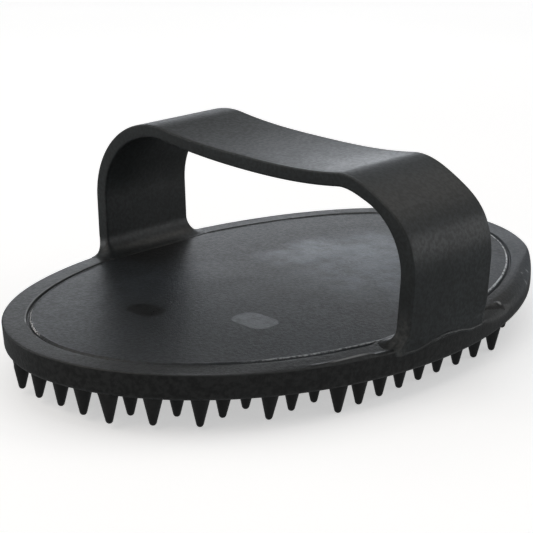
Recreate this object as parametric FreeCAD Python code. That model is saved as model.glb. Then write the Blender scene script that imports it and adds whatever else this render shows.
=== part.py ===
import FreeCAD, Part
import math
import os

from FreeCAD import Vector

# Rubber curry comb. Millimetres, Z up, X along the oval, Y across it (the way the
# handle spans). The origin is below the middle of the oval, on the plane that the
# lowest tooth tips stand on.

# oval pad
PAD_HALF_LENGTH = 87.0
PAD_HALF_WIDTH = 57.0
PAD_THICKNESS = 6.9
PAD_CROWN = 2.4           # the long sides lie this far below the centre line
PAD_EDGE_RADIUS = 1.3
PAD_WALL_DRAFT = 0.09     # the side wall leans in by this much per millimetre down

# inner panel and the narrow groove around it
RIM_WIDTH = 6.1
GROOVE_WIDTH = 1.0
GROOVE_DEPTH = 0.6
PANEL_DEPTH = 2.0
PANEL_EDGE_RADIUS = 0.3

# teeth
TOOTH_PITCH = 8.0
TOOTH_LENGTH = 8.4
TOOTH_BASE_RADIUS = 2.9
TOOTH_TIP_RADIUS = 0.95
TOOTH_TIP_FLAT = 0.4
TEETH_EACH_SIDE = [10, 10, 10, 9, 8, 6, 4]    # by row, from the middle row outwards
TOOTH_LIMIT = 0.905       # tooth centres stay where (x / length)^2 + (y / width)^2 is below this

# band handle; each shoulder is (centre y, centre z, radius, band thickness)
BAND_HALF_WIDTH = 16.0
BAND_EDGE_RADIUS = 0.6
LEG_FOOT_Y = 56.8
LEFT_SHOULDER = (34.8, 32.65, 23.4, 3.8, 0.0, 0.5)
RIGHT_SHOULDER = (-34.75, 32.45, 23.15, 4.6, 1.35, 0.95)
DIP_START = math.radians(24)         # the outside of a shoulder is flattened above this angle
THINNING_START = math.radians(70)    # the band gets thinner from this angle up to the saddle
SHOULDER_POINTS = 13
SADDLE_TOP = 53.8
SADDLE_THICKNESS = 3.8
SADDLE_SLOPE_DEG = 8.8    # slope of the band where shoulder and saddle meet
FOOT_FILLET = 4.5

# construction values: they don't show in the finished shapes
TOOL_MARGIN = 5.0         # how far cutting shapes run past what they cut
PLATE_REACH = 80.0        # half width of the plate that the foot fillets are made on
ROOT_RISE = 1.0           # teeth are drawn this far into the pad, then trimmed
LONG_EDGE = 50.0          # outline edges are longer than this
PLACE_SLACK = 0.2         # tolerance when an edge is picked by its place
FOOT_SLACK = 1.0          # the same, for edges around a leaning leg
FLAT_SLACK = 0.01         # tolerance for an edge that lies in one plane

# derived levels
CROWN_RADIUS = (PAD_HALF_WIDTH ** 2 + PAD_CROWN ** 2) / (2 * PAD_CROWN)
OUTER_ROW = len(TEETH_EACH_SIDE) - 1


def crown_drop(y):
    """Height lost by the arched plate at the distance y from its centre line."""
    return CROWN_RADIUS - math.sqrt(CROWN_RADIUS ** 2 - y ** 2)


PAD_BOTTOM = crown_drop(OUTER_ROW * TOOTH_PITCH) + TOOTH_LENGTH
PAD_TOP = PAD_BOTTOM + PAD_THICKNESS


def arched_slab(top, bottom, half_length, half_width):
    """Slab between two arched surfaces, given by their heights on the centre line."""

    def arc(level):
        edge_z = level - crown_drop(half_width)
        return Part.Arc(
            Vector(-half_length, -half_width, edge_z),
            Vector(-half_length, 0, level),
            Vector(-half_length, half_width, edge_z),
        ).toShape()

    upper = arc(top)
    lower = arc(bottom)
    ends = []
    for upper_point, lower_point in zip(upper.Vertexes, lower.Vertexes):
        ends.append(Part.makeLine(upper_point.Point, lower_point.Point))
    wire = Part.Wire(Part.__sortEdges__([upper, lower] + ends))
    return Part.Face(wire).extrude(Vector(2 * half_length, 0, 0))


def oval_wire(inset, z):
    ellipse = Part.Ellipse(Vector(0, 0, z), PAD_HALF_LENGTH - inset, PAD_HALF_WIDTH - inset)
    return Part.Wire([ellipse.toShape()])


def oval_column(inset, low, high):
    """Upright elliptical column, its outline the given distance inside the pad's."""
    return Part.Face(oval_wire(inset, low)).extrude(Vector(0, 0, high - low))


def plate_slab(top, bottom):
    """Arched slab that covers the whole pad."""
    return arched_slab(top, bottom, PAD_HALF_LENGTH + TOOL_MARGIN, PAD_HALF_WIDTH + TOOL_MARGIN)


def make_pad_blank():
    """Oval plate with a drafted wall, before its edge is rounded and its groove is cut."""
    low = PAD_BOTTOM - TOOL_MARGIN
    high = PAD_TOP + TOOL_MARGIN
    low_wire = oval_wire(PAD_WALL_DRAFT * (PAD_TOP - low), low)
    high_wire = oval_wire(-PAD_WALL_DRAFT * TOOL_MARGIN, high)
    column = Part.makeLoft([low_wire, high_wire], True, True)
    return column.common(plate_slab(PAD_TOP, PAD_BOTTOM))


def make_panel():
    column = oval_column(RIM_WIDTH + GROOVE_WIDTH, 0, PAD_TOP + TOOL_MARGIN)
    return column.common(plate_slab(PAD_TOP, PAD_TOP - PANEL_DEPTH))


def make_pad_body(blank, panel):
    lower_edges = []
    for edge in blank.Edges:
        if edge.BoundBox.ZMax < PAD_BOTTOM + PLACE_SLACK and edge.Length > LONG_EDGE:
            lower_edges.append(edge)
    body = blank.makeFillet(PAD_EDGE_RADIUS, lower_edges)
    groove = oval_column(RIM_WIDTH, 0, PAD_TOP + TOOL_MARGIN)
    groove = groove.common(plate_slab(PAD_TOP + TOOL_MARGIN, PAD_TOP - GROOVE_DEPTH))
    foot_reach = BAND_HALF_WIDTH + FOOT_FILLET
    under_feet = Part.makeBox(
        2 * foot_reach,
        2 * PAD_HALF_WIDTH,
        2 * PAD_TOP,
        Vector(-foot_reach, -PAD_HALF_WIDTH, 0),
    )
    return body.cut(groove.cut(under_feet).fuse(panel))


def round_panel(panel):
    upper_edges = []
    for edge in panel.Edges:
        if edge.BoundBox.ZMax > PAD_TOP - PLACE_SLACK and edge.Length > LONG_EDGE:
            upper_edges.append(edge)
    return panel.makeFillet(PANEL_EDGE_RADIUS, upper_edges)


def shoulder_point(shoulder, inset, angle):
    """Point on a shoulder arc; the angle is measured from level, towards the top."""
    centre_y, centre_z, radius = shoulder[:3]
    outward = math.copysign(radius - inset, centre_y)
    return Vector(0, centre_y + outward * math.cos(angle), centre_z + (radius - inset) * math.sin(angle))


def shoulder_inset(shoulder, inner, angle, top):
    """Distance of the band's inner or outer side from the shoulder's circle at an angle."""
    thickness, dip, thinning = shoulder[3:]
    if inner:
        share = min(1, max(0, (angle - THINNING_START) / (top - THINNING_START)))
        return thickness - thinning * share ** 2 * (3 - 2 * share)
    share = min(1, max(0, (angle - DIP_START) / (top - DIP_START)))
    return dip * math.sin(math.pi * share) ** 2


def shoulder_edge(shoulder, inner, start, top):
    """One side of the band round a shoulder, from the leg to the saddle."""
    side = math.copysign(1, shoulder[0])
    points = []
    for i in range(SHOULDER_POINTS):
        angle = start + (top - start) * i / (SHOULDER_POINTS - 1)
        points.append(shoulder_point(shoulder, shoulder_inset(shoulder, inner, angle, top), angle))
    curve = Part.BSplineCurve()
    curve.interpolate(
        Points=points,
        InitialTangent=Vector(0, -side * math.sin(start), math.cos(start)),
        FinalTangent=Vector(0, -side * math.sin(top), math.cos(top)),
    )
    return curve.toShape(), points[-1]


def leg_angle(shoulder, foot_z):
    """Angle on the outer shoulder arc where the straight leg touches it."""
    centre_y, centre_z, radius = shoulder[:3]
    reach = LEG_FOOT_Y - abs(centre_y)
    drop = centre_z - foot_z
    return math.acos(radius / math.hypot(reach, drop)) - math.atan2(drop, reach)


def arch_outline(foot_z, inner):
    """Edges of one side of the band, foot to foot, and its two foot points."""
    inflection = math.pi / 2 + math.radians(SADDLE_SLOPE_DEG)
    slope = math.tan(math.radians(SADDLE_SLOPE_DEG))
    edges = []
    feet = []
    ends = []
    for shoulder in (RIGHT_SHOULDER, LEFT_SHOULDER):
        inset = shoulder[3] if inner else 0
        start = leg_angle(shoulder, foot_z)
        leg_end = shoulder_point(shoulder, inset, start)
        outer_end = shoulder_point(shoulder, 0, start)
        foot = Vector(0, math.copysign(LEG_FOOT_Y, shoulder[0]), foot_z) + (leg_end - outer_end)
        shoulder_side, arc_end = shoulder_edge(shoulder, inner, start, inflection)
        edges.append(Part.makeLine(foot, leg_end))
        edges.append(shoulder_side)
        feet.append(foot)
        ends.append(arc_end)
    saddle = Part.BSplineCurve()
    middle = Vector(0, 0, SADDLE_TOP - (SADDLE_THICKNESS if inner else 0))
    saddle.interpolate(
        Points=[ends[0], middle, ends[1]],
        InitialTangent=Vector(0, 1, -slope),
        FinalTangent=Vector(0, 1, slope),
    )
    edges.append(saddle.toShape())
    return edges, feet


def make_band():
    """The bare strap, running down into the pad, with rounded long edges."""
    foot_z = PAD_BOTTOM
    outer, outer_feet = arch_outline(foot_z, False)
    inner, inner_feet = arch_outline(foot_z, True)
    feet = []
    for outer_foot, inner_foot in zip(outer_feet, inner_feet):
        feet.append(Part.makeLine(outer_foot, inner_foot))
    face = Part.Face(Part.Wire(Part.__sortEdges__(outer + inner + feet)))
    face.translate(Vector(-BAND_HALF_WIDTH, 0, 0))
    band = face.extrude(Vector(2 * BAND_HALF_WIDTH, 0, 0))
    long_edges = []
    for edge in band.Edges:
        box = edge.BoundBox
        if box.XLength < FLAT_SLACK and box.ZMax > foot_z + FOOT_SLACK:
            long_edges.append(edge)
    return band.makeFillet(BAND_EDGE_RADIUS, long_edges)


def make_foot_fillet(shoulder):
    """Concave fillet around the foot of one leg, kept inside the pad's outline."""
    side = math.copysign(1, shoulder[0])
    reach = PLATE_REACH
    plate = arched_slab(PAD_TOP, PAD_BOTTOM, PAD_HALF_LENGTH, reach)
    start = leg_angle(shoulder, PAD_BOTTOM)
    leg_end = shoulder_point(shoulder, shoulder[3], start)
    offset = leg_end - shoulder_point(shoulder, 0, start)
    foot = Vector(0, side * LEG_FOOT_Y, PAD_BOTTOM) + offset
    corners = [foot, leg_end, Vector(0, side * reach, leg_end.z), Vector(0, side * reach, foot.z)]
    face = Part.Face(Part.makePolygon(corners + corners[:1]))
    face.translate(Vector(-BAND_HALF_WIDTH, 0, 0))
    leg = face.extrude(Vector(2 * BAND_HALF_WIDTH, 0, 0))
    inner_edges = []
    for edge in leg.Edges:
        box = edge.BoundBox
        upright = box.XLength < FLAT_SLACK and box.ZLength > 2 * FOOT_FILLET
        if upright and side * edge.CenterOfMass.y < reach - FOOT_SLACK:
            inner_edges.append(edge)
    leg = leg.makeFillet(BAND_EDGE_RADIUS, inner_edges)
    joined = plate.fuse(leg)
    foot_edges = []
    for edge in joined.Edges:
        centre = edge.CenterOfMass
        on_top = abs(centre.z - (PAD_TOP - crown_drop(centre.y))) < PLACE_SLACK
        in_width = abs(centre.x) < BAND_HALF_WIDTH + PLACE_SLACK
        in_span = abs(foot.y) - FOOT_SLACK < side * centre.y < reach - FOOT_SLACK
        if on_top and in_width and in_span:
            foot_edges.append(edge)
    flared = joined.makeFillet(FOOT_FILLET, foot_edges)
    fillet = flared.cut(plate).cut(leg)
    return fillet.common(oval_column(0, 0, PAD_TOP + 2 * FOOT_FILLET))


def make_handle():
    """The strap, trimmed to the pad's arched top, with a fillet around each foot."""
    strap = make_band().cut(arched_slab(PAD_TOP, -TOOL_MARGIN, PAD_HALF_LENGTH, PLATE_REACH))
    for shoulder in (RIGHT_SHOULDER, LEFT_SHOULDER):
        strap = strap.fuse(make_foot_fillet(shoulder))
    return strap.removeSplitter()


def make_tooth(y, under_space):
    """One blunt cone whose root follows the underside of the pad."""
    tip_z = PAD_BOTTOM - crown_drop(y) - TOOTH_LENGTH
    root_z = PAD_BOTTOM + ROOT_RISE
    taper = math.atan2(TOOTH_BASE_RADIUS - TOOTH_TIP_RADIUS, TOOTH_LENGTH)
    centre_z = tip_z + math.sqrt(TOOTH_TIP_RADIUS ** 2 - TOOTH_TIP_FLAT ** 2)
    blend_r = TOOTH_TIP_RADIUS * math.cos(taper)
    blend_z = centre_z - TOOTH_TIP_RADIUS * math.sin(taper)
    root_r = blend_r + (root_z - blend_z) * math.tan(taper)
    half_angle = 0.5 * (math.asin(TOOTH_TIP_FLAT / TOOTH_TIP_RADIUS) + math.pi / 2 - taper)
    arc_middle = Vector(
        TOOTH_TIP_RADIUS * math.sin(half_angle),
        0,
        centre_z - TOOTH_TIP_RADIUS * math.cos(half_angle),
    )
    flat_end = Vector(TOOTH_TIP_FLAT, 0, tip_z)
    blend = Vector(blend_r, 0, blend_z)
    root = Vector(root_r, 0, root_z)
    edges = [
        Part.makeLine(Vector(0, 0, tip_z), flat_end),
        Part.Arc(flat_end, arc_middle, blend).toShape(),
        Part.makeLine(blend, root),
        Part.makeLine(root, Vector(0, 0, root_z)),
        Part.makeLine(Vector(0, 0, root_z), Vector(0, 0, tip_z)),
    ]
    cone = Part.Face(Part.Wire(edges)).revolve(Vector(0, 0, 0), Vector(0, 0, 1), 360)
    cone.translate(Vector(0, y, 0))
    return cone.common(under_space)


def tooth_x(column, y):
    """Place of a tooth along its row; an end tooth too near the wall is set in a little."""
    room = PAD_HALF_LENGTH * math.sqrt(TOOTH_LIMIT - (y / PAD_HALF_WIDTH) ** 2)
    return max(-room, min(room, column * TOOTH_PITCH))


def make_tooth_row(row, under_space):
    """A row of separate teeth along X; row 0 is the middle one."""
    y = row * TOOTH_PITCH
    tooth = make_tooth(y, under_space)
    reach = TEETH_EACH_SIDE[abs(row)]
    teeth = []
    for column in range(-reach, reach + 1):
        copy = tooth.copy()
        copy.translate(Vector(tooth_x(column, y), 0, 0))
        teeth.append(copy)
    return Part.makeCompound(teeth)


def export(name, shape):
    if shape.isNull() or not shape.isValid():
        raise ValueError("bad shape: " + name)
    shape.exportStep("parts/" + name + ".step")


def main():
    os.makedirs("parts", exist_ok=True)
    blank = make_pad_blank()
    panel = make_panel()
    export("pad_body", make_pad_body(blank, panel))
    export("top_panel", round_panel(panel))
    export("handle_strap", make_handle())
    under_space = plate_slab(PAD_BOTTOM, -TOOL_MARGIN)
    for row in range(-OUTER_ROW, OUTER_ROW + 1):
        export("teeth_row_%02d" % (row + OUTER_ROW + 1), make_tooth_row(row, under_space))


main()
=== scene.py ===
import math

import bpy
import numpy as np
from mathutils import Matrix, Vector


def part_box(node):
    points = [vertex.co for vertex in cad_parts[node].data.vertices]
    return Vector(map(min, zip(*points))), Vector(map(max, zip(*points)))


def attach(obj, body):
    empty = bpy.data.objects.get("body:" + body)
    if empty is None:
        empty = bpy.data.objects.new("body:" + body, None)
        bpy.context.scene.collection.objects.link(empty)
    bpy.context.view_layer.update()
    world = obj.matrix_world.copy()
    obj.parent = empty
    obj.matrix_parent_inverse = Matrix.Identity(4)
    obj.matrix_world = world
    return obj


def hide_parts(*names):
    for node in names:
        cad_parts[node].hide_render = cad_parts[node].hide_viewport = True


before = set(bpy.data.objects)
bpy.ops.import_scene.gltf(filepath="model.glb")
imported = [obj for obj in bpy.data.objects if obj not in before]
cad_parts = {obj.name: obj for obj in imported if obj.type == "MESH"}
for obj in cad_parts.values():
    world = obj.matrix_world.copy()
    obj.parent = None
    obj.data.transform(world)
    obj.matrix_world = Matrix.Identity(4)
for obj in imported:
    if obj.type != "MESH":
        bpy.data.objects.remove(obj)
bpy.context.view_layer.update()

# Rubber curry comb, built in the CAD frame. Lengths in this script are millimetres;
# every mesh is scaled to metres when it is made.

MM = 0.001


def highest_corner(name):
    """Corner of a CAD node's box with the largest x, y and z, in millimetres."""
    return np.array(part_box(name)[1]) / MM


# pad; its length and the level of its top come from the CAD frame
HALF_LENGTH = highest_corner("pad_body")[0]
HALF_WIDTH = 57.0
PAD_TOP = highest_corner("top_panel")[2]
PAD_THICKNESS = 6.9
PAD_BOTTOM = PAD_TOP - PAD_THICKNESS
PAD_CROWN = 2.4
CROWN_RADIUS = (HALF_WIDTH ** 2 + PAD_CROWN ** 2) / (2 * PAD_CROWN)
CROWN_REACH = 70             # the arch is followed this far from the long axis
WALL_DRAFT = 0.09
RIM_WIDTH = 6.1
GROOVE_WIDTH = 1.0
GROOVE_DEPTH = 0.6
PANEL_DEPTH = 2.0

# handle band; a shoulder is (centre y, centre z, radius, thickness, dip, thinning): dip is how far
# its outside is flattened, and thinning is how much thinner the band gets up to the saddle
BAND_HALF_WIDTH = 16.0
LEG_FOOT_Y = 56.8
LEFT_SHOULDER = (34.8, 32.65, 23.4, 3.8, 0.0, 0.5)
RIGHT_SHOULDER = (-34.75, 32.45, 23.15, 4.6, 1.35, 0.95)
DIP_START = math.radians(24)         # the outside of a shoulder is flattened above this angle
THINNING_START = math.radians(70)    # the band gets thinner from this angle up to the saddle
SADDLE_TOP = 53.8
SADDLE_THICKNESS = 3.8
SADDLE_SLOPE = math.radians(8.8)
FLARE = {"right": 4.4, "left": 5.4}  # height over which each foot widens
OUTER_RADIUS = 0.4                   # long edges of the band, on its outside and inside
INNER_RADIUS = 0.5

# teeth
TOOTH_PITCH = 8.0
TOOTH_LENGTH = 8.4
TOOTH_BASE_RADIUS = 2.9
TOOTH_TIP_RADIUS = 0.95
TEETH_EACH_SIDE = [10, 10, 10, 9, 8, 6, 4]
TOOTH_LIMIT = 0.905    # largest (x / half length)^2 + (y / half width)^2 of a tooth's place
ROOT_INSET = 1.9       # tooth roots stay this far inside the pad's outline
ROOT_FILLET = 0.12     # how much the root widens
ROOT_RISE = 0.9        # height over which the root widens, and by which it then runs into the pad
ROOT_TAPER = 1.2       # how much narrower it is where it ends inside the pad
TIP_START = 0.12       # angle of the first ring of the rounded tip
TIP_STEPS = 7
TOOTH_AROUND = 20
TOOTH_SEED = 7
LEAN_SPREAD = 0.09
SIZE_SPREAD = 0.012
BENT_TIPS = {(-10, -2): (0.15, -0.25), (-10, 1): (-0.5, 0.0), (-10, 0): (-0.25, 0.0)}


# ---------------------------------------------------------------- helpers

def smooth(value, start, end):
    """Smooth step from 0 at start to 1 at end; works on arrays."""
    t = np.clip((np.asarray(value, float) - start) / (end - start), 0, 1)
    return t * t * (3 - 2 * t)


def bump(value, centre, reach):
    """Soft hump, 1 at centre and 0 beyond reach."""
    return 1 - smooth(np.abs(np.asarray(value, float) - centre), 0, reach)


def crown_drop(y):
    """How far the arched plate lies below its crown at a distance y from the long axis."""
    return CROWN_RADIUS - np.sqrt(CROWN_RADIUS ** 2 - np.clip(y, -CROWN_REACH, CROWN_REACH) ** 2)


PHASE_RANGE = 6.28    # one turn, for the random phases


def wander(t, seed, waves=6, start=1):
    """Smooth random curve around the turn t (radians), about -1 to 1."""
    random = np.random.RandomState(seed)
    total = 0.0
    for k in range(start, start + waves):
        strength = math.sqrt(1.0 / waves) * random.normal()
        total = total + strength * np.sin(k * t + random.uniform(0, PHASE_RANGE))
    return total


def make_object(name, points, faces, material):
    """Smooth-shaded object in the scene, from points in millimetres."""
    mesh = bpy.data.meshes.new(name)
    mesh.from_pydata((np.asarray(points) * MM).tolist(), [], faces)
    mesh.validate()
    mesh.shade_smooth()
    obj = bpy.data.objects.new(name, mesh)
    bpy.context.scene.collection.objects.link(obj)
    mesh.materials.append(material)
    return obj


def tube_faces(rings, around, first=0):
    """Quads between closed rings of points, ring after ring."""
    faces = []
    for i in range(rings - 1):
        low = first + i * around
        high = low + around
        for j in range(around):
            k = (j + 1) % around
            faces.append((low + j, low + k, high + k, high + j))
    return faces


def fan(centre, ring_start, around, flip):
    """Triangles between a centre point and a closed ring of points."""
    faces = []
    for j in range(around):
        k = (j + 1) % around
        if flip:
            faces.append((centre, ring_start + k, ring_start + j))
        else:
            faces.append((centre, ring_start + j, ring_start + k))
    return faces


def rounded_profile(corners, steps=6):
    """Open polyline with rounded corners; each corner is (inset, level, radius)."""
    line = [corners[0][:2]]
    for before, here, after in zip(corners, corners[1:], corners[2:]):
        p = np.array(here[:2])
        radius = here[2]
        if radius <= 0:
            line.append(tuple(p))
            continue
        a = np.array(before[:2]) - p
        b = np.array(after[:2]) - p
        a = a / np.linalg.norm(a)
        b = b / np.linalg.norm(b)
        half = 0.5 * math.acos(float(np.clip(a @ b, -1, 1)))
        reach = radius / math.tan(half)
        centre = p + (a + b) / np.linalg.norm(a + b) * radius / math.sin(half)
        start = p + a * reach - centre
        end = p + b * reach - centre
        turn = math.atan2(start[0] * end[1] - start[1] * end[0], float(start @ end))
        for i in range(steps + 1):
            t = turn * i / steps
            c, s = math.cos(t), math.sin(t)
            line.append((centre[0] + c * start[0] - s * start[1], centre[1] + s * start[0] + c * start[1]))
    line.append(corners[-1][:2])
    return np.array(line)


def refine(lines, longest):
    """Splits the long runs of matching open polylines, each into the same number of steps."""
    out = [[line[0]] for line in lines]
    for i in range(1, len(lines[0])):
        run = max(np.linalg.norm(line[i] - line[i - 1]) for line in lines)
        steps = max(1, int(math.ceil(run / longest)))
        for k in range(1, steps + 1):
            for points, line in zip(out, lines):
                points.append(line[i - 1] + (line[i] - line[i - 1]) * k / steps)
    return [np.array(points) for points in out]


# ---------------------------------------------------------------- materials

def add(tree, kind, **values):
    """New node; each value goes to the input of that name, or else to the node's own setting."""
    node = tree.nodes.new(kind)
    for key, value in values.items():
        if key in node.inputs:
            node.inputs[key].default_value = value
        else:
            setattr(node, key, value)
    return node


def noise(tree, where, scale, detail=4.0, roughness=0.55, distortion=0.0):
    """Grey noise around 0.5; the scale counts per metre."""
    node = add(
        tree, "ShaderNodeTexNoise",
        Scale=scale, Detail=detail, Roughness=roughness, Distortion=distortion,
    )
    tree.links.new(where, node.inputs["Vector"])
    return node.outputs["Fac"]


def remap(tree, value, low, high, to_low, to_high):
    """Smooth step of a value between two levels, clamped."""
    node = add(tree, "ShaderNodeMapRange", interpolation_type="SMOOTHSTEP")
    tree.links.new(value, node.inputs["Value"])
    node.inputs["From Min"].default_value = low
    node.inputs["From Max"].default_value = high
    node.inputs["To Min"].default_value = to_low
    node.inputs["To Max"].default_value = to_high
    return node.outputs["Result"]


def math_node(tree, operation, a, b=None):
    """Result of an operation on one or two numbers or sockets."""
    node = tree.nodes.new("ShaderNodeMath")
    node.operation = operation
    for index, value in enumerate((a, b)):
        if value is None:
            continue
        if isinstance(value, (int, float)):
            node.inputs[index].default_value = value
        else:
            tree.links.new(value, node.inputs[index])
    return node.outputs["Value"]


def product(tree, first, *others):
    """Product of numbers and sockets."""
    for value in others:
        first = math_node(tree, "MULTIPLY", first, value)
    return first


def mix_colour(tree, factor, a, b):
    """Colour a where the factor is 0 and colour b where it is 1."""
    node = tree.nodes.new("ShaderNodeMix")
    node.data_type = "RGBA"
    if isinstance(factor, (int, float)):
        node.inputs["Factor"].default_value = factor
    else:
        tree.links.new(factor, node.inputs["Factor"])
    for value, socket in ((a, node.inputs[6]), (b, node.inputs[7])):
        if isinstance(value, tuple):
            socket.default_value = (*value, 1.0)
        else:
            tree.links.new(value, socket)
    return node.outputs[2]


def new_material(name):
    """Material with a plain shader: also its node tree, the shader and the object coordinates."""
    material = bpy.data.materials.new(name)
    material.use_nodes = True
    tree = material.node_tree
    tree.nodes.clear()
    out = tree.nodes.new("ShaderNodeOutputMaterial")
    shader = tree.nodes.new("ShaderNodeBsdfPrincipled")
    tree.links.new(shader.outputs["BSDF"], out.inputs["Surface"])
    where = tree.nodes.new("ShaderNodeTexCoord").outputs["Object"]
    return material, tree, shader, where


def vector_node(tree, operation, a, b=None):
    """Result of an operation on one or two vectors or sockets."""
    node = tree.nodes.new("ShaderNodeVectorMath")
    node.operation = operation
    for index, value in enumerate((a, b)):
        if value is None:
            continue
        if isinstance(value, tuple):
            node.inputs[index].default_value = value
        else:
            tree.links.new(value, node.inputs[index])
    return node.outputs["Value" if operation == "LENGTH" else "Vector"]


def ragged(tree, where, reach, scale):
    """Position shifted by noise of the given reach (mm), which breaks up the edges of marks."""
    node = add(tree, "ShaderNodeTexNoise", Scale=scale, Detail=3.0)
    tree.links.new(where, node.inputs["Vector"])
    shift = vector_node(tree, "SUBTRACT", node.outputs["Color"], (0.5, 0.5, 0.5))
    shift = vector_node(tree, "MULTIPLY", shift, (reach * MM, reach * MM, reach * MM))
    return vector_node(tree, "ADD", where, shift)


def patch(tree, where, centre, half, corner, edge, strength=1.0):
    """Rounded rectangle seen from above, in mm: strength inside, 0 outside, blurred by edge."""
    offset = vector_node(tree, "SUBTRACT", where, (centre[0] * MM, centre[1] * MM, 0.0))
    away = vector_node(tree, "ABSOLUTE", offset)
    core = ((half[0] - corner) * MM, (half[1] - corner) * MM, 1.0)
    beyond = vector_node(tree, "MAXIMUM", vector_node(tree, "SUBTRACT", away, core), (0.0, 0.0, 0.0))
    distance = vector_node(tree, "LENGTH", beyond)
    return remap(tree, distance, (corner - edge) * MM, (corner + edge) * MM, strength, 0.0)


LINE_CORE = 0.6    # a line is full up to this share of its half width
LINE_END = 1.5     # and gone beyond this one


def oval_band(tree, where, inset, half_width):
    """1 on a line that runs around the pad's top at this inset, in mm, and 0 away from it."""
    half_x = (HALF_LENGTH - inset) * MM
    half_y = (HALF_WIDTH - inset) * MM
    radius = vector_node(tree, "LENGTH", vector_node(tree, "MULTIPLY", where, (1 / half_x, 1 / half_y, 0.0)))
    gradient = vector_node(tree, "MULTIPLY", where, (half_x ** -2, half_y ** -2, 0.0))
    slope = vector_node(tree, "LENGTH", gradient)
    off = math_node(tree, "ABSOLUTE", math_node(tree, "SUBTRACT", radius, 1.0))
    distance = math_node(tree, "DIVIDE", off, slope)
    return remap(tree, distance, half_width * LINE_CORE * MM, half_width * LINE_END * MM, 1.0, 0.0)


# pale colour of specks and dust, also of painted highlights on the rim
PALE_DUST_AND_HIGHLIGHT = (0.95, 0.96, 0.97)
# bluish bloom, also the colour of painted sheen on the panel and the grip
BLOOM_AND_SHEEN = (0.245, 0.29, 0.345)
# near-black for soot and grain, also for painted shade and shadows
SOOT_AND_SHADE = (0.004, 0.004, 0.0035)
# near-black of the pad's wall: painted shade on the faces that do not face up
SHADED_WALL_BLACK = (0.015, 0.0155, 0.015)
SMUDGE_GREY = (0.145, 0.157, 0.17)
# pale wear on the bead, also its painted highlight
WORN_BEAD_AND_HIGHLIGHT = (0.75, 0.78, 0.80)
# pale wear on the grip's edge, also its painted highlight
WORN_EDGE_AND_HIGHLIGHT = (0.45, 0.5, 0.52)
PALE_LEG_GREY = (0.26, 0.26, 0.255)
DULL_AND_LIT_GREY = (0.08, 0.08, 0.075)

GROOVE_LINE = RIM_WIDTH + GROOVE_WIDTH + 0.5
# marks on the pad: centre, half size, corner and blur in millimetres, then strength if not 1
GROOVE_END = ((-71.0, 19.0), (8.0, 11.0), 8.0, 2.0)
RIM_BLOOM = ((72.0, -22.0), (26.0, 34.0), 20.0, 16.0, 0.15)
# painted shadow: a dark line under the crease's small step; then a painted highlight: a pale spot on the nib
RIM_CREASE_SHADOW = ((26.5, -51.3), (6.0, 0.35), 0.3, 0.25, 0.8)
NIB_HIGHLIGHT = ((30.6, -50.6), (0.8, 0.35), 0.3, 0.2, 0.25)
RIM_SPECKS = [(55.4, -40.7), (53.6, -43.4), (60.1, -39.2)]    # centres
# pale lines, painted highlights on the lip's crest and along the groove's outer edge: inset, centre and half
# size of the part that shows, strength
RIM_HIGHLIGHT_LINES = [
    (1.0, (-33.0, -54.0), (6.0, 4.0), 0.20),
    (RIM_WIDTH + 0.1, (-58.0, 36.0), (26.0, 13.0), 0.10),
    (RIM_WIDTH + 0.1, (-72.5, 21.5), (2.5, 1.5), 0.4),
]
# marks on the panel; clouds, streaks and bead parts have a centre, a half size and a strength
# bloom clouds, partly a painted highlight over the panel's right half
CLOUDS = [
    ((30.0, -14.0), (28.0, 22.0), 0.37),
    ((22.0, 13.0), (14.0, 6.0), 0.50),
    ((36.0, 1.0), (19.0, 13.0), 0.36),
    ((-20.0, 20.0), (22.0, 10.0), 0.06),
]
SMUDGE = ((-31.3, -19.0), (4.6, 5.8), 3.4, 0.25, 0.9)
SMEAR = ((-45.9, 5.9), (4.2, 5.2), 3.6, 0.4, 0.8)
# painted shadow and reflection of the left leg on the panel below it
LEG_SHADOW_PATCH = ((0.0, 44.0), (16.0, 7.0), 5.0, 5.0, 0.7)
STREAKS = [((-16.0, -37.0), (6.0, 0.35), 0.8), ((-4.0, -40.0), (3.0, 0.35), 0.8)]
# the bead's pale line is partly wear and partly a painted highlight along the panel's edge
BEAD_PARTS = [((0.0, -50.0), (55.0, 14.0), 0.5), ((58.0, -28.0), (24.0, 24.0), 0.9)]
# marks on the handle; foot patches have a centre, a half size, a strength and a colour
# the grip patch is polished, and paled as a painted highlight
GRIP = ((0.0, -18.0), (18.0, 20.0), 14.0, 18.0)
WITHIN_SIDES = ((0.0, 0.0), (14.9, 60.0), 0.5, 0.8)
EDGE_LINE = ((-15.4, -20.0), (0.3, 20.0), 0.3, 0.3, 0.4)
EDGE_REACH = ((-15.0, -20.0), (6.0, 14.0), 6.0, 10.0)
# on the right foot's flare: the pale patch is partly painted light on its up-facing part, the dark one
# partly painted shade on its inner side
FOOT_PATCHES = [
    ((-18.0, -54.5), (2.6, 2.6), 0.35, DULL_AND_LIT_GREY),
    ((-20.0, -50.2), (3.4, 2.2), 0.9, SOOT_AND_SHADE),
]


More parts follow.
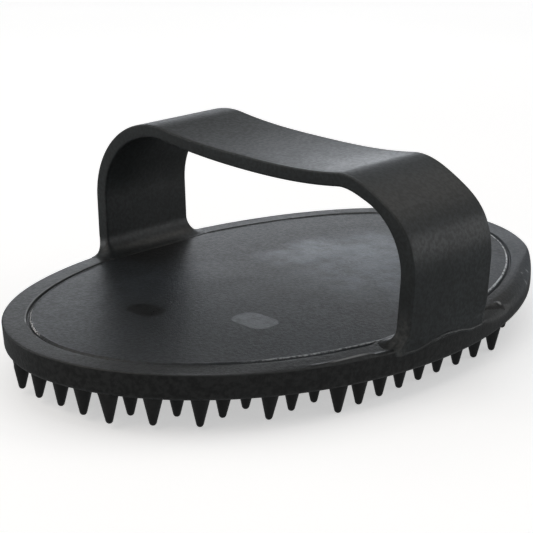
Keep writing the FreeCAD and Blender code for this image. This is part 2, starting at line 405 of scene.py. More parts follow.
def rubber(name, dark, light, roughness, grain, marks=None):
    """Moulded black rubber: cloudy bloom and fine grain; marks adds what is on one piece only."""
    material, tree, shader, where = new_material(name)
    cloud = noise(tree, where, 28.0, 5.0, 0.6, 0.6)
    mottle = noise(tree, where, 190.0, 6.0, 0.65)
    coarse = noise(tree, where, 1000.0, 2.0, 0.5)
    fine = noise(tree, where, 2600.0, 2.0, 0.6)
    blend = math_node(tree, "ADD", product(tree, cloud, 0.65), product(tree, mottle, 0.35))
    colour = mix_colour(tree, remap(tree, blend, 0.36, 0.64, 0.0, 1.0), dark, light)
    colour = mix_colour(tree, remap(tree, coarse, 0.35, 0.65, 0.0, 0.55), colour, SOOT_AND_SHADE)
    slow = remap(tree, mottle, 0.3, 0.7, roughness - 0.02, roughness + 0.02)
    quick = remap(tree, coarse, 0.3, 0.7, -0.04, 0.04)
    rough = math_node(tree, "ADD", slow, quick)
    if marks:
        colour, rough = marks(tree, where, colour, rough)
    tree.links.new(colour, shader.inputs["Base Color"])
    tree.links.new(rough, shader.inputs["Roughness"])
    height = math_node(tree, "ADD", fine, math_node(tree, "ADD", coarse, product(tree, mottle, 0.4)))
    relief = add(tree, "ShaderNodeBump", Strength=grain, Distance=0.0001)
    tree.links.new(height, relief.inputs["Height"])
    tree.links.new(relief.outputs["Normal"], shader.inputs["Normal"])
    return material


def groove_specks(tree, where, colour):
    """Pale specks caught in the groove at the oval's left end."""
    sparkle = remap(tree, noise(tree, where, 2400.0, 1.0, 0.5), 0.48, 0.56, 0.0, 1.0)
    near_end = patch(tree, where, *GROOVE_END)
    line = oval_band(tree, ragged(tree, where, 0.5, 400.0), GROOVE_LINE - 0.1, 0.16)
    return mix_colour(tree, product(tree, line, near_end, sparkle), colour, PALE_DUST_AND_HIGHLIGHT)


def pad_marks(tree, where, colour, rough):
    """The wall is painted blacker than the bloomed top, as painted shade on every face that does not face
    up; pale lines of painted highlight, specks, a line of painted shadow along the crease and a painted
    highlight on its nib lie on the rim.
    """
    facing = tree.nodes.new("ShaderNodeNewGeometry").outputs["Normal"]
    split = tree.nodes.new("ShaderNodeSeparateXYZ")
    tree.links.new(facing, split.inputs["Vector"])
    facing_up = remap(tree, split.outputs["Z"], 0.05, 0.5, 0.0, 1.0)
    pebbles = remap(tree, noise(tree, where, 800.0, 3.0, 0.6), 0.38, 0.62, 0.0, 0.7)
    wall = mix_colour(tree, pebbles, SOOT_AND_SHADE, SHADED_WALL_BLACK)
    colour = groove_specks(tree, where, colour)
    bloom = patch(tree, ragged(tree, where, 12.0, 60.0), *RIM_BLOOM)
    colour = mix_colour(tree, bloom, colour, BLOOM_AND_SHEEN)
    jitter = ragged(tree, where, 1.0, 900.0)
    # painted highlights: pale lines on the lip's crest and along the groove's outer edge
    for inset, centre, half, strength in RIM_HIGHLIGHT_LINES:
        line = oval_band(tree, where, inset, 0.2)
        share = product(tree, line, patch(tree, where, centre, half, 4.0, 2.0, strength))
        colour = mix_colour(tree, share, colour, PALE_DUST_AND_HIGHLIGHT)
    # painted shadow along the crease's step, then a painted highlight on its nib
    crease = patch(tree, jitter, *RIM_CREASE_SHADOW)
    colour = mix_colour(tree, crease, colour, SOOT_AND_SHADE)
    rough = math_node(tree, "ADD", rough, product(tree, crease, 0.4))
    colour = mix_colour(tree, patch(tree, jitter, *NIB_HIGHLIGHT), colour, PALE_DUST_AND_HIGHLIGHT)
    for centre in RIM_SPECKS:
        speck = patch(tree, jitter, centre, (0.5, 0.35), 0.35, 0.15, 0.2)
        colour = mix_colour(tree, speck, colour, PALE_DUST_AND_HIGHLIGHT)
    # painted shade: every face that does not face up takes the wall's near-black
    return mix_colour(tree, facing_up, wall, colour), rough


def panel_marks(tree, where, colour, rough):
    """Bloom clouds that are partly a painted highlight, two smudges, streaks, a worn bead that partly
    carries a painted highlight, and a painted shadow under the left leg.
    """
    cloudy = ragged(tree, where, 16.0, 60.0)
    breakup = remap(tree, noise(tree, where, 130.0, 7.0, 0.7), 0.32, 0.68, 0.3, 1.0)
    # bloom clouds, partly a painted highlight on the panel's right half
    for centre, half, strength in CLOUDS:
        shape = patch(tree, cloudy, centre, half, min(half), min(half) * 0.8, strength)
        colour = mix_colour(tree, product(tree, shape, breakup), colour, BLOOM_AND_SHEEN)
        rough = math_node(tree, "SUBTRACT", rough, product(tree, shape, 0.12))
    jitter = ragged(tree, where, 0.8, 500.0)
    hatch = remap(tree, noise(tree, where, 420.0, 4.0, 0.7), 0.35, 0.6, 0.6, 1.0)
    smudge = product(tree, patch(tree, jitter, *SMUDGE), hatch)
    colour = mix_colour(tree, smudge, colour, SMUDGE_GREY)
    smear = patch(tree, jitter, *SMEAR)
    colour = mix_colour(tree, smear, colour, SOOT_AND_SHADE)
    rough = math_node(tree, "SUBTRACT", rough, product(tree, smear, 0.12))
    # painted shadow and reflection of the left leg on the panel below it
    colour = mix_colour(tree, patch(tree, cloudy, *LEG_SHADOW_PATCH), colour, SOOT_AND_SHADE)
    for centre, half, strength in STREAKS:
        colour = mix_colour(tree, patch(tree, jitter, centre, half, 0.3, 0.2, strength), colour, SOOT_AND_SHADE)
    # pale line on the bead: partly wear, partly a painted highlight along the panel's edge
    line = oval_band(tree, ragged(tree, where, 0.3, 400.0), GROOVE_LINE + 0.15, 0.22)
    breakup = remap(tree, noise(tree, where, 700.0, 3.0, 0.6), 0.36, 0.58, 0.2, 1.0)
    for centre, half, strength in BEAD_PARTS:
        part = patch(tree, where, centre, half, 12.0, 6.0, strength)
        colour = mix_colour(tree, product(tree, line, part, breakup), colour, WORN_BEAD_AND_HIGHLIGHT)
    return groove_specks(tree, where, colour), rough


def coordinate_step(tree, value, low, high, to_low, to_high):
    """Smooth step of a coordinate between two values in millimetres."""
    return remap(tree, value, low * MM, high * MM, to_low, to_high)


def grip_marks(tree, where, place, colour, rough):
    """The top of the grip is polished by hands and paled as a painted highlight, and its edge towards -X is
    worn, with a pale line that is partly a painted highlight.
    """
    on_top = coordinate_step(tree, place["Z"], SADDLE_TOP - 9, SADDLE_TOP - 4, 0.0, 1.0)
    grip = product(tree, on_top, patch(tree, where, *GRIP), patch(tree, where, *WITHIN_SIDES))
    rough = math_node(tree, "SUBTRACT", rough, product(tree, grip, 0.11))
    # painted highlight: the grip's top is paled towards the bluish bloom colour
    colour = mix_colour(tree, product(tree, grip, 0.08), colour, BLOOM_AND_SHEEN)
    above_sides = coordinate_step(tree, place["Z"], SADDLE_TOP - 2, SADDLE_TOP - 1, 0.0, 1.0)
    worn = patch(tree, ragged(tree, where, 0.2, 300.0), *EDGE_LINE)
    fading = patch(tree, ragged(tree, where, 6.0, 90.0), *EDGE_REACH)
    # pale worn line on the edge towards -X, partly a painted highlight
    colour = mix_colour(tree, product(tree, worn, fading, above_sides), colour, WORN_EDGE_AND_HIGHLIGHT)
    return colour, rough


def paler_leg_inside(tree, where, place, colour):
    """Paler grey on the inside of the left leg, on the half towards +X."""
    inside_left = coordinate_step(tree, place["Y"], 40, 46, 0.0, 1.0)
    rising = coordinate_step(tree, place["Z"], 26, 36, 0.3, 1.0)
    falling = coordinate_step(tree, place["Z"], 40, 48, 1.0, 0.2)
    far_half = coordinate_step(tree, place["X"], -12, 4, 0.0, 0.08)
    cloud = remap(tree, noise(tree, where, 90.0, 5.0, 0.6), 0.35, 0.6, 0.4, 1.0)
    paler_share = product(tree, inside_left, rising, far_half, falling, cloud)
    return mix_colour(tree, paler_share, colour, PALE_LEG_GREY)


def foot_marks(tree, where, place, colour, rough):
    """Patches on the right foot, which is dull where it flares; the pale patch is partly painted light and
    the dark one partly painted shade.
    """
    jitter = ragged(tree, where, 3.0, 300.0)
    at_foot = coordinate_step(tree, place["Z"], PAD_TOP + 3, PAD_TOP + 9, 1.0, 0.0)
    breakup = remap(tree, noise(tree, where, 800.0, 3.0, 0.6), 0.40, 0.6, 0.2, 1.0)
    # the pale patch is partly painted light, the dark one partly painted shade
    for centre, half, strength, tone in FOOT_PATCHES:
        shape = product(tree, at_foot, patch(tree, jitter, centre, half, min(half), min(half) * 0.6))
        share = product(tree, breakup, strength, shape)
        colour = mix_colour(tree, share, colour, tone)
        rough = math_node(tree, "ADD", rough, product(tree, shape, 0.3))
    return colour, rough


def handle_marks(tree, where, colour, rough):
    """Marks on the grip, on the inside of the left leg and on the right foot."""
    split = tree.nodes.new("ShaderNodeSeparateXYZ")
    tree.links.new(where, split.inputs["Vector"])
    colour, rough = grip_marks(tree, where, split.outputs, colour, rough)
    colour = paler_leg_inside(tree, where, split.outputs, colour)
    return foot_marks(tree, where, split.outputs, colour, rough)


# look of each rubber: dark and light colour, roughness, strength of the grain, marks
PAD_RUBBER = rubber(
    "pad_rubber_look", (0.011, 0.0125, 0.0125), (0.019, 0.0205, 0.0205), 0.42, 0.6, pad_marks,
)
PANEL_RUBBER = rubber(
    "panel_rubber_look", (0.013, 0.016, 0.0185), (0.022, 0.0265, 0.031), 0.42, 0.55, panel_marks,
)
HANDLE_RUBBER = rubber(
    "handle_rubber_look", (0.0125, 0.0155, 0.016), (0.021, 0.0255, 0.0265), 0.44, 0.25, handle_marks,
)
# the teeth's rubber is the pad's, made darker as painted shade under the pad
SHADED_TEETH_RUBBER = rubber(
    "teeth_rubber_look", (0.005, 0.005, 0.005), (0.009, 0.009, 0.0085), 0.42, 0.5,
)


# ---------------------------------------------------------------- pad

TURN_STEPS = 960
LIP_HEIGHT = 1.05
NIB_HEIGHT = 0.7
STEP_DROP = 0.4
UNDERSIDE_INSET = 4.0    # the underside's rings end this far inside the outline
HUB_SHARE = 0.06         # the innermost ring is this share of the outermost one
HUB_RINGS = 15
PANEL_MARGIN = 3.0       # the panel's plain middle starts this far inside its edge
BEAD_HEIGHT = 0.1
RECESS_INSET = RIM_WIDTH + GROOVE_WIDTH + 0.05
RECESS_FLOOR = PAD_TOP - PANEL_DEPTH - 0.02    # a little below the panel
CRISP_EDGE = 0.4         # radius of the rim's outer edge on the left
SOFT_EDGE = 5.0          # and on the right
RIM_RUN = 0.35           # longest run between two rings of the rim
PANEL_RUN = 0.8          # and of the panel's edge
PANEL_LOW_RINGS = 12
PANEL_TOP_RINGS = 44
TURN = np.arange(TURN_STEPS) * 2 * math.pi / TURN_STEPS


def near_lip(x, y):
    """Height of the moulding lip that stands on the rim, left of the right foot."""
    height = LIP_HEIGHT * smooth(x, -45, -28) * (1 - 0.8 * smooth(x, -27.5, -24)) * (1 - smooth(x, -19, -15))
    return np.where(y < 0, height, 0.0)


def far_step(x, y):
    """Small step down beyond the straight crease on the rim, right of the right foot, and its nib."""
    fade = smooth(x, 12, 16) * (1 - smooth(x, 31, 38))
    nib = NIB_HEIGHT * np.exp(-(((x - 30.3) / 1.3) ** 2 + ((y + 50.7) / 0.45) ** 2))
    return nib - STEP_DROP * fade * smooth(-y, 50.8, 51.3)


def oval_ring(inset, level, scale=1.0):
    """Ring of points on the arched plate, inset from the pad's outline, drafted."""
    inset = np.broadcast_to(inset, TURN.shape)
    level = np.broadcast_to(level, TURN.shape)
    y = scale * (HALF_WIDTH - inset) * np.sin(TURN)
    z = level - crown_drop(y)
    draft = WALL_DRAFT * (PAD_TOP - z) * (1 - smooth(inset, 1.5, 4.0))
    x = scale * (HALF_LENGTH - inset - draft) * np.cos(TURN)
    y = scale * (HALF_WIDTH - inset - draft) * np.sin(TURN)
    return np.stack([x, y, z], axis=1)


def build_oval(name, rings, low_centre, high_centre, material):
    """Closed oval solid from rings that run from below the middle, out, and back above."""
    points = [np.array([[0.0, 0.0, low_centre]])] + rings + [np.array([[0.0, 0.0, high_centre]])]
    faces = fan(0, 1, TURN_STEPS, True)
    faces += tube_faces(len(rings), TURN_STEPS, 1)
    last = 1 + (len(rings) - 1) * TURN_STEPS
    faces += fan(last + TURN_STEPS, last, TURN_STEPS, False)
    return make_object(name, np.concatenate(points), faces, material)


def foot_weight():
    """1 beside the two feet of the handle and 0 away from them, around the oval."""
    return 1 - smooth(np.abs(HALF_LENGTH * np.cos(TURN)), 20.5, 23.5)


def rim_line(edge_radius):
    """Section of the rim from the underside, up the wall and over to the panel's recess."""
    top = PAD_TOP
    deep = top - GROOVE_DEPTH
    corners = [
        (UNDERSIDE_INSET, PAD_BOTTOM, 0),
        (0.0, PAD_BOTTOM, 1.3),
        (0.0, top, edge_radius),
        (RIM_WIDTH + 0.25, top, 0.15),
        (RIM_WIDTH + 0.6, deep, 0.12),
        (RECESS_INSET, deep, 0),
        (RECESS_INSET, RECESS_FLOOR, 0),
    ]
    return rounded_profile(corners, 8)


def pad_rim_rings():
    """Rings of the rim; its outer edge is crisp on the left and well rounded on the right."""
    crisp, soft = refine([rim_line(CRISP_EDGE), rim_line(SOFT_EDGE)], RIM_RUN)
    from_tip = np.where(TURN > math.pi, TURN - 2 * math.pi, TURN)
    around_right = smooth(HALF_LENGTH * np.cos(TURN), 12, 30) * (1 - smooth(from_tip, -0.82, -0.5))
    filled = foot_weight()
    rings = []
    for sharp_point, soft_point in zip(crisp, soft):
        inset = sharp_point[0] + (soft_point[0] - sharp_point[0]) * around_right
        level = sharp_point[1] + (soft_point[1] - sharp_point[1]) * around_right
        depth = PAD_TOP - sharp_point[1]
        if sharp_point[0] > RIM_WIDTH - 0.4 and depth <= GROOVE_DEPTH + 0.01:
            level = level + filled * depth
        ring = oval_ring(inset, level)
        x, y = ring[:, 0], ring[:, 1]
        on_top = 1 - smooth(depth, 0.5, 3.0)
        in_rim = 1 - smooth(inset, RIM_WIDTH - 0.6, RIM_WIDTH)
        ridge = bump(inset, 1.0, 1.1)
        ring[:, 2] += on_top * (ridge * near_lip(x, y) + in_rim * far_step(x, y))
        ring[:, 2] += 0.04 * wander(TURN, 5, 9, 3) * on_top * smooth(inset, 0, 2) * in_rim
        if depth > PAD_THICKNESS - 0.4 and sharp_point[0] < 2.0:
            ring[:, :2] *= 1 + 0.0016 * bump(depth, PAD_THICKNESS - 0.15, 0.25)
        rings.append(ring)
    return rings


def make_pad():
    """Pad shell: underside, wall, rim and groove, and the floor that the panel lies on."""
    rings = []
    for scale in np.linspace(HUB_SHARE, 1.0, HUB_RINGS)[:-1]:
        rings.append(oval_ring(UNDERSIDE_INSET, PAD_BOTTOM, scale))
    rings += pad_rim_rings()
    for scale in np.linspace(1.0, HUB_SHARE, HUB_RINGS)[1:]:
        rings.append(oval_ring(RECESS_INSET, RECESS_FLOOR, scale))
    pad = build_oval("pad_shell", rings, PAD_BOTTOM, RECESS_FLOOR, PAD_RUBBER)
    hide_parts("pad_body")
    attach(pad, "root")


def make_panel():
    """Slightly raised inner panel; its edge carries a thin, broken bead of flash."""
    outer = RIM_WIDTH + GROOVE_WIDTH
    base = PAD_TOP - PANEL_DEPTH
    middle = outer + PANEL_MARGIN
    corners = [
        (middle, base, 0),
        (outer, base, 0),
        (outer, PAD_TOP - 0.55, 0.05),
        (outer + 0.6, PAD_TOP + BEAD_HEIGHT, 0.12),
        (outer + 0.85, PAD_TOP + BEAD_HEIGHT, 0.1),
        (outer + 1.0, PAD_TOP, 0.08),
        (middle, PAD_TOP, 0),
    ]
    line = refine([rounded_profile(corners, 4)], PANEL_RUN)[0]
    broken = 0.8 + 0.2 * wander(TURN, 21, 14, 20) + 0.2 * wander(TURN, 22, 30, 60)
    rings = []
    for scale in np.linspace(0.05, 1.0, PANEL_LOW_RINGS)[:-1]:
        rings.append(oval_ring(middle, base, scale))
    for inset, level in line:
        over = max(0.0, level - PAD_TOP)
        level_here = np.minimum(level, PAD_TOP) + over * np.clip(broken, 0.05, 1.8) * (1 - foot_weight())
        rings.append(oval_ring(inset, level_here))
    for scale in np.linspace(1.0, 0.03, PANEL_TOP_RINGS)[1:]:
        ring = oval_ring(middle, PAD_TOP, scale)
        ring[:, 2] += 0.06 * wander(TURN, 31, 5, 1) * scale * (1 - scale) * 4
        rings.append(ring)
    panel = build_oval("panel_skin", rings, base, PAD_TOP, PANEL_RUBBER)
    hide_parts("top_panel")
    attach(panel, "root")


# ---------------------------------------------------------------- handle

FOOT_HEIGHTS = [-1.5, -1.15, -1.0, -0.85, -0.7, -0.55, -0.4, -0.25, -0.1]
FLARE_STEPS = 16
LEG_STEPS = 22
SHOULDER_STEPS = 72
SADDLE_STEPS = 50
ABOVE_FEET = 99.0        # height of the stations that no foot reaches
WALL_SETBACK = 0.22      # the wall just below the top edge stands this far inside the outline
# parting line of the mould, around the foot's outer face
PARTING_LEVEL = -0.55
PARTING_WIDTH = 0.22
PARTING_RIDGE = 0.22
PARTING_WAVE = 0.85
PARTING_WAVELENGTH = 29
TUCK = 0.9               # how far the foot's lowest edge is drawn into the pad


def shoulder_point(shoulder, inset, angle):
    """Point (y, z) at an angle on a shoulder's circle, moved in by inset."""
    centre_y, centre_z, radius = shoulder[:3]
    outward = math.copysign(radius - inset, centre_y)
    return np.array([centre_y + outward * math.cos(angle), centre_z + (radius - inset) * math.sin(angle)])


def shoulder_inset(shoulder, inner, angle, top):
    """Distance of the band's inner or outer side from the shoulder's circle at an angle."""
    thickness, dip, thinning = shoulder[3:]
    if inner:
        return thickness - thinning * float(smooth(angle, THINNING_START, top))
    share = min(1, max(0, (angle - DIP_START) / (top - DIP_START)))
    return dip * math.sin(math.pi * share) ** 2


def leg_angle(shoulder, foot_z):
    """Angle on a shoulder's circle where the straight leg touches it."""
    centre_y, centre_z, radius = shoulder[:3]
    reach = LEG_FOOT_Y - abs(centre_y)
    drop = centre_z - foot_z
    return math.acos(radius / math.hypot(reach, drop)) - math.atan2(drop, reach)


def clamped_spline(points, first_slope, last_slope, at):
    """Cubic spline z(y) through three points with given end slopes."""
    (y0, z0), (y1, z1), (y2, z2) = points
    a = y1 - y0
    b = y2 - y1
    right_side = 3 * ((z1 - z0) * b / a + (z2 - z1) * a / b) - b * first_slope - a * last_slope
    middle_slope = right_side / (2 * (a + b))
    out = []
    for y in at:
        if y <= y1:
            h, start, end, slopes, t = a, z0, z1, (first_slope, middle_slope), (y - y0) / a
        else:
            h, start, end, slopes, t = b, z1, z2, (middle_slope, last_slope), (y - y1) / b
        out.append(
            (2 * t ** 3 - 3 * t ** 2 + 1) * start + (t ** 3 - 2 * t ** 2 + t) * h * slopes[0]
            + (-2 * t ** 3 + 3 * t ** 2) * end + (t ** 3 - t ** 2) * h * slopes[1]
        )
    return np.array(out)


def wall_y(x):
    """Distance of the pad's wall from the long axis, just below its top edge."""
    along = x / (HALF_LENGTH - WALL_SETBACK)
    return (HALF_WIDTH - WALL_SETBACK) * np.sqrt(np.clip(1 - along ** 2, 0, 1))


def leg_stations(shoulder, flare):
    """(outer point, inner point, height above the pad) up one leg, from below the pad's top."""
    side = math.copysign(1, shoulder[0])
    thickness = shoulder[3]
    foot_z = PAD_BOTTOM
    angle = leg_angle(shoulder, foot_z)
    outer_end = shoulder_point(shoulder, 0, angle)
    inner_end = shoulder_point(shoulder, thickness, angle)
    outer_foot = np.array([side * LEG_FOOT_Y, foot_z])
    direction = (outer_end - outer_foot) / np.linalg.norm(outer_end - outer_foot)
    ground = PAD_TOP - float(crown_drop(LEG_FOOT_Y - thickness / 2))
    heights = FOOT_HEIGHTS + [flare * (1 - math.cos(t)) for t in np.linspace(0.0, math.pi / 2, FLARE_STEPS)]
    top = outer_end[1] - ground
    heights += list(np.linspace(flare, top, LEG_STEPS)[1:])
    stations = []
    for height in heights:
        along = (ground + height - foot_z) / direction[1]
        outer = outer_foot + direction * along
        stations.append((outer, outer + (inner_end - outer_end), height))
    return stations


def arch_stations():
    """All stations from the right foot over the saddle to the left foot."""
    inflection = math.pi / 2 + SADDLE_SLOPE
    legs = {}
    arcs = {}
    for name, shoulder in (("right", RIGHT_SHOULDER), ("left", LEFT_SHOULDER)):
        legs[name] = leg_stations(shoulder, FLARE[name])
        start = leg_angle(shoulder, PAD_BOTTOM)
        arcs[name] = []
        for angle in np.linspace(start, inflection, SHOULDER_STEPS)[1:]:
            outside = shoulder_point(shoulder, shoulder_inset(shoulder, False, angle, inflection), angle)
            inside = shoulder_point(shoulder, shoulder_inset(shoulder, True, angle, inflection), angle)
            arcs[name].append((outside, inside, ABOVE_FEET))
    slope = math.tan(SADDLE_SLOPE)
    curves = []
    share = np.linspace(0, 1, SADDLE_STEPS)[1:-1]
    for side, level in ((0, SADDLE_TOP), (1, SADDLE_TOP - SADDLE_THICKNESS)):
        start = arcs["right"][-1][side]
        end = arcs["left"][-1][side]
        y = start[0] + (end[0] - start[0]) * share
        z = clamped_spline((tuple(start), (0.0, level), tuple(end)), -slope, slope, y)
        curves.append(np.stack([y, z], axis=1))
    saddle = [(a, b, ABOVE_FEET) for a, b in zip(*curves)]
    right = [(*s, "right") for s in legs["right"] + arcs["right"]]
    middle = [(*s, "") for s in saddle]
    left = [(*s, "left") for s in (legs["left"] + arcs["left"])[::-1]]
    return right + middle + left


SECTION_CORNERS = [(1, 1), (-1, 1), (-1, -1), (1, -1)]    # (side, face); face is -1 inside the arch
CORNER_STEPS = 7
FLAT_STEPS = 44
SIDE_STEPS = 5


def band_section():
    """Outline of the band: (corner, normal, share of that corner, share of the next one)."""
    out = []
    for index, corner in enumerate(SECTION_CORNERS):
        for i in range(CORNER_STEPS + 1):
            angle = math.radians(90 * index + 90 * i / CORNER_STEPS)
            out.append((corner, (math.cos(angle), math.sin(angle)), 1.0, 0.0))
        following = SECTION_CORNERS[(index + 1) % 4]
        steps = FLAT_STEPS if following[1] == corner[1] else SIDE_STEPS
        angle = math.radians(90 * (index + 1))
        for i in range(1, steps):
            out.append((corner, (math.cos(angle), math.sin(angle)), 1 - i / steps, i / steps))
    return out


def corner_point(corner, normal, half_thickness):
    """Point (x, v) on a rounded corner of the section, where its outward normal is this one."""
    side, face = corner
    radius = OUTER_RADIUS if face > 0 else INNER_RADIUS
    x = side * (BAND_HALF_WIDTH - radius) + normal[0] * radius
    v = face * (half_thickness - radius) + normal[1] * radius
    return np.array([x, v])


def section_points(half_thickness):
    """Cross-section points (x, v, normal x, normal v) in millimetres."""
    points = []
    for corner, normal, here, there in band_section():
        place = corner_point(corner, normal, half_thickness)
        if there > 0:
            following = SECTION_CORNERS[(SECTION_CORNERS.index(corner) + 1) % 4]
            place = place * here + corner_point(following, normal, half_thickness) * there
        points.append((*place, *normal))
    return np.array(points)


def flare_foot(x, y, section, thickness, height, foot):
    """Widens a ring of the leg to both sides and inwards, where it nears the pad."""
    v, nx, nv = section[:, 1], section[:, 2], section[:, 3]
    flare = FLARE[foot]
    side = -1 if foot == "right" else 1
    inward = np.clip((thickness / 2 - v) / thickness, 0, 1)
    rise = min(1.0, max(0.0, 1 - height / flare))
    spread = flare * (1 - math.sqrt(max(0.0, 1 - rise ** 2))) if height > 0 else flare
    at_outer = np.where(x < 0, 0.8, 0.1) if foot == "right" else 0.75
    share_x = at_outer + (1 - at_outer) * smooth(inward, 0.0, 0.9)
    return x + spread * nx * share_x, y + side * spread * np.minimum(nv, 0)


def parting_line(x, y, z, v, side, thickness, height):
    """Wavy ridge of the parting line on a foot's outer face; the edge below it is tucked in."""
    ridge = math.exp(-((height - PARTING_LEVEL) / PARTING_WIDTH) ** 2)
    tucked = float(smooth(-height, 0.95, 1.2))
    outer_face = smooth(v, thickness / 2 - 0.6, thickness / 2)
    y = y + side * outer_face * (PARTING_RIDGE * ridge - TUCK * tucked)
    wave = PARTING_WAVE * np.cos(x * 2 * math.pi / PARTING_WAVELENGTH) + 0.08 * np.sin(x * 0.9 + 2.0)
    nib = 0.35 * np.exp(-(((x + 5) / 0.7) ** 2)) * ridge
    y = y + side * outer_face * nib
    z = z + outer_face * wave * (1 - smooth(height, 0.2, 1.0))
    return y, z


def shape_foot(x, y, z, section, thickness, height, foot):
    """Bends a ring of the leg into the foot: its flare, its seat on the pad, its parting line."""
    v = section[:, 1]
    flare = FLARE[foot]
    side = -1 if foot == "right" else 1
    if height < flare:
        x, y = flare_foot(x, y, section, thickness, height, foot)
    near = 1 - smooth(height, 0.0, 6.0)
    outward = smooth(v, thickness / 2 - 2.0, thickness / 2 - 0.3) * near
    wall = side * (wall_y(x) + 0.1)
    y = y + outward * (wall - side * LEG_FOOT_Y)
    over = side * y - (wall_y(x) + 0.1 + 0.1 * max(0.0, height) ** 2)
    y = y - side * np.clip(over, 0, None)
    follow = 1 - smooth(height, flare, 2.2 * flare)
    ground = PAD_TOP - crown_drop(y)
    z = z * (1 - follow) + follow * (ground + height)
    if height < 1.0:
        y, z = parting_line(x, y, z, v, side, thickness, height)
    return x, y, z


def make_handle():
    """Band handle, swept over all its stations and closed at both feet."""
    rings = []
    for outer, inner, height, foot in arch_stations():
        thickness = float(np.linalg.norm(outer - inner))
        direction = (outer - inner) / thickness
        middle = 0.5 * (outer + inner)
        section = section_points(thickness / 2)
        x = section[:, 0]
        y = middle[0] + direction[0] * section[:, 1]
        z = middle[1] + direction[1] * section[:, 1]
        if foot:
            x, y, z = shape_foot(x, y, z, section, thickness, height, foot)
        rings.append(np.stack([x, y, z], axis=1))
    around = len(rings[0])
    first_middle = rings[0].mean(axis=0)
    last_middle = rings[-1].mean(axis=0)
    points = np.concatenate([first_middle[None]] + rings + [last_middle[None]])
    faces = fan(0, 1, around, False)
    for quad in tube_faces(len(rings), around, 1):
        faces.append(quad[::-1])
    last = 1 + (len(rings) - 1) * around
    faces += fan(last + around, last, around, True)
    band = make_object("handle_band", points, faces, HANDLE_RUBBER)
    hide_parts("handle_strap")
    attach(band, "root")


# ---------------------------------------------------------------- teeth

def tooth_profile():
    """(radius, height above the tip) up one blunt tooth, with a small root fillet."""
    taper = math.atan2(TOOTH_BASE_RADIUS - TOOTH_TIP_RADIUS, TOOTH_LENGTH)
    line = []
    for angle in np.linspace(TIP_START, math.pi / 2 - taper, TIP_STEPS):
        line.append((TOOTH_TIP_RADIUS * math.sin(angle), TOOTH_TIP_RADIUS * (1 - math.cos(angle))))
    start_radius, start_height = line[-1]
    for t in np.linspace(0, 1, TIP_STEPS)[1:]:
        height = start_height + (TOOTH_LENGTH - start_height) * t
        radius = start_radius + (height - start_height) * math.tan(taper)
        widening = ROOT_FILLET * float(smooth(height, TOOTH_LENGTH - ROOT_RISE, TOOTH_LENGTH))
        line.append((radius + widening, height))
    line.append((line[-1][0] - ROOT_TAPER, TOOTH_LENGTH + ROOT_RISE))
    return line


def tooth_lean(column, row, random):
    """Small tilt of a tooth's tip, in millimetres; a few at the left end are bent."""
    lean = random.normal(0, LEAN_SPREAD, 2)
    return lean + np.array(BENT_TIPS.get((column, row), (0.0, 0.0)))


def tooth_x(column, y):
    """Place of a tooth along its row; an end tooth too near the wall is set in a little."""
    room = HALF_LENGTH * math.sqrt(TOOTH_LIMIT - (y / HALF_WIDTH) ** 2)
    return max(-room, min(room, column * TOOTH_PITCH))


def make_tooth_row(row, random):
    """One row of teeth along X, as one mesh."""
    around = TOOTH_AROUND
    profile = tooth_profile()
    turn = np.arange(around) * 2 * math.pi / around
    y = row * TOOTH_PITCH
    tip = PAD_BOTTOM - float(crown_drop(y)) - TOOTH_LENGTH
    points = []
    faces = []
    reach = TEETH_EACH_SIDE[abs(row)]
    for column in range(-reach, reach + 1):
        first = len(points)
        x = tooth_x(column, y)
        lean = tooth_lean(column, row, random)
        size = 1 + random.normal(0, SIZE_SPREAD)
        points.append((x + lean[0], y + lean[1], tip))
        for radius, height in profile:
            share = 1 - height / TOOTH_LENGTH
            for angle in turn:
                px = x + lean[0] * share + radius * size * math.cos(angle)
                py = y + lean[1] * share + radius * size * math.sin(angle)
                reached = math.hypot(px / (HALF_LENGTH - ROOT_INSET), py / (HALF_WIDTH - ROOT_INSET))
                outside = max(1.0, reached)
                points.append((px / outside, py / outside, tip + height))
        points.append((x, y, tip + profile[-1][1]))
        faces += fan(first, first + 1, around, True)
        faces += tube_faces(len(profile), around, first + 1)
        last = first + 1 + (len(profile) - 1) * around
        faces += fan(last + around, last, around, False)
    number = row + len(TEETH_EACH_SIDE)
    teeth = make_object("teeth_%02d" % number, points, faces, SHADED_TEETH_RUBBER)
    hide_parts("teeth_row_%02d" % number)
    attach(teeth, "root")


# ---------------------------------------------------------------- studio

FLOOR_HALF_SIZE = 6000.0
FLOOR_GLOW = 0.5


def make_floor():
    """Pale floor that glows a little, so that it looks white without more light on the rubber."""
    material, tree, shader, where = new_material("studio_floor")
    tone = remap(tree, noise(tree, where, 3.0, 2.0), 0.3, 0.7, 0.86, 0.90)
    tree.links.new(mix_colour(tree, tone, (0.0, 0.0, 0.0), (1.0, 1.0, 1.0)), shader.inputs["Base Color"])
    shader.inputs["Roughness"].default_value = 0.9
    shader.inputs["Specular IOR Level"].default_value = 0.1
    shader.inputs["Emission Color"].default_value = (1.0, 1.0, 1.0, 1.0)
    shader.inputs["Emission Strength"].default_value = FLOOR_GLOW
    size = FLOOR_HALF_SIZE
    points = [(-size, -size, 0), (size, -size, 0), (size, size, 0), (-size, size, 0)]
    floor = make_object("floor", points, [(0, 1, 2, 3)], material)
    floor.visible_glossy = False


COOL = (0.96, 1.0, 1.06)
NEUTRAL = (1.0, 1.0, 1.0)
WARM = (1.08, 1.0, 0.92)
LIGHT_DISTANCE = 1.2
LIGHT_TARGET = Vector((0.0, 0.0, 0.03))
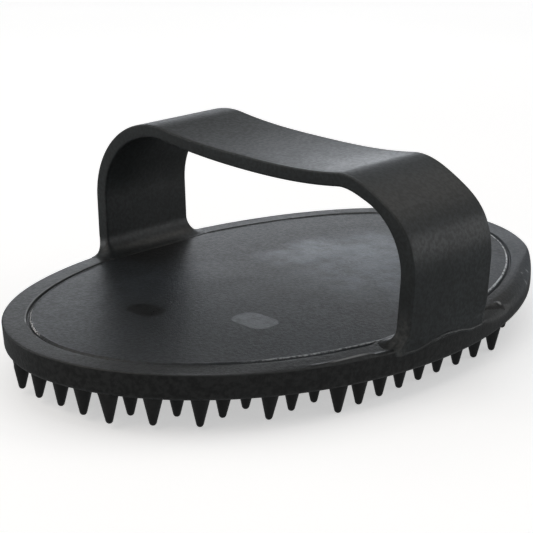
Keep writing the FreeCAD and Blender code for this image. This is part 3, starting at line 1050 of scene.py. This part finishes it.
# softboxes: name, heading and height above the floor in degrees, width and height in metres,
# brightness, colour
SOFTBOXES = [
    ("overhead", 0, 90, 1.0, 1.0, 0.60, NEUTRAL),
    ("back_low", 43, 6.0, 0.7, 0.18, 2.6, COOL),
    ("back_mid", 43, 24, 0.7, 0.35, 0.19, COOL),
    ("back_high", 43, 48, 0.7, 0.5, 0.31, NEUTRAL),
    ("back_right_mid", 8, 24, 0.7, 0.35, 0.10, NEUTRAL),
    ("back_right_high", -10, 50, 0.6, 0.5, 0.88, WARM),
    ("back_left_high", 95, 50, 0.6, 0.5, 0.42, NEUTRAL),
    ("right_low", -35, 10, 0.7, 0.35, 1.75, NEUTRAL),
    ("right_high", -47, 42, 0.7, 0.5, 0.42, NEUTRAL),
    ("left_low", 125, 10, 0.7, 0.35, 2.19, NEUTRAL),
    ("left_high", 135, 42, 0.7, 0.5, 1.03, WARM),
    ("front_right", -85, 12, 0.7, 0.4, 0.85, NEUTRAL),
    ("front_left", 178, 12, 0.7, 0.4, 0.80, WARM),
    ("front_left_high", 178, 45, 0.7, 0.5, 1.39, WARM),
]
AIR_BRIGHTNESS = 0.19


def softbox(name, heading, height, wide, tall, brightness, colour):
    """Rectangular light on a sphere around the object, facing it."""
    heading = math.radians(heading)
    height = math.radians(height)
    away = Vector((
        math.cos(heading) * math.cos(height),
        math.sin(heading) * math.cos(height),
        math.sin(height),
    ))
    data = bpy.data.lights.new(name, "AREA")
    data.shape = "RECTANGLE"
    data.size = wide
    data.size_y = tall
    data.energy = math.pi * wide * tall * brightness
    data.color = colour
    light = bpy.data.objects.new(name, data)
    bpy.context.scene.collection.objects.link(light)
    light.location = LIGHT_TARGET + away * LIGHT_DISTANCE
    light.rotation_euler = away.to_track_quat("Z", "Y").to_euler()
    light.visible_camera = False


def make_lights():
    """All softboxes, and a faint even light from the air."""
    for row in SOFTBOXES:
        softbox(*row)
    world = bpy.data.worlds.new("studio_air")
    bpy.context.scene.world = world
    world.use_nodes = True
    background = world.node_tree.nodes["Background"]
    background.inputs["Color"].default_value = (0.95, 0.98, 1.0, 1.0)
    background.inputs["Strength"].default_value = AIR_BRIGHTNESS


CAMERA_AZIMUTH = math.radians(-47.356)
CAMERA_ELEVATION = math.radians(17.553)
CAMERA_ROLL = math.radians(1.039)
CAMERA_DISTANCE = 0.4936
CAMERA_TARGET = Vector((0.00078, 0.00688, 0.01824))
CAMERA_LENS = 120.27
SENSOR_WIDTH = 36.0


def make_camera():
    """Camera on a sphere around its target, turned a little about its own axis."""
    data = bpy.data.cameras.new("camera")
    data.sensor_width = SENSOR_WIDTH
    data.lens = CAMERA_LENS
    data.clip_start = 0.01
    data.clip_end = 50.0
    camera = bpy.data.objects.new("camera", data)
    bpy.context.scene.collection.objects.link(camera)
    azimuth, elevation = CAMERA_AZIMUTH, CAMERA_ELEVATION
    back = Vector((
        math.sin(azimuth) * math.cos(elevation),
        -math.cos(azimuth) * math.cos(elevation),
        math.sin(elevation),
    ))
    level = Vector((math.cos(azimuth), math.sin(azimuth), 0))
    upright = back.cross(level)
    right = level * math.cos(CAMERA_ROLL) + upright * math.sin(CAMERA_ROLL)
    up = back.cross(right)
    turn = Matrix((right, up, back)).transposed()
    camera.matrix_world = Matrix.Translation(CAMERA_TARGET + back * CAMERA_DISTANCE) @ turn.to_4x4()
    bpy.context.scene.camera = camera


make_camera()
make_pad()
make_panel()
make_handle()
tooth_random = np.random.RandomState(TOOTH_SEED)
outer_row = len(TEETH_EACH_SIDE) - 1
for tooth_row in range(-outer_row, outer_row + 1):
    make_tooth_row(tooth_row, tooth_random)
make_floor()
make_lights()
bpy.context.scene.view_settings.view_transform = "Standard"

bpy.context.view_layer.update()
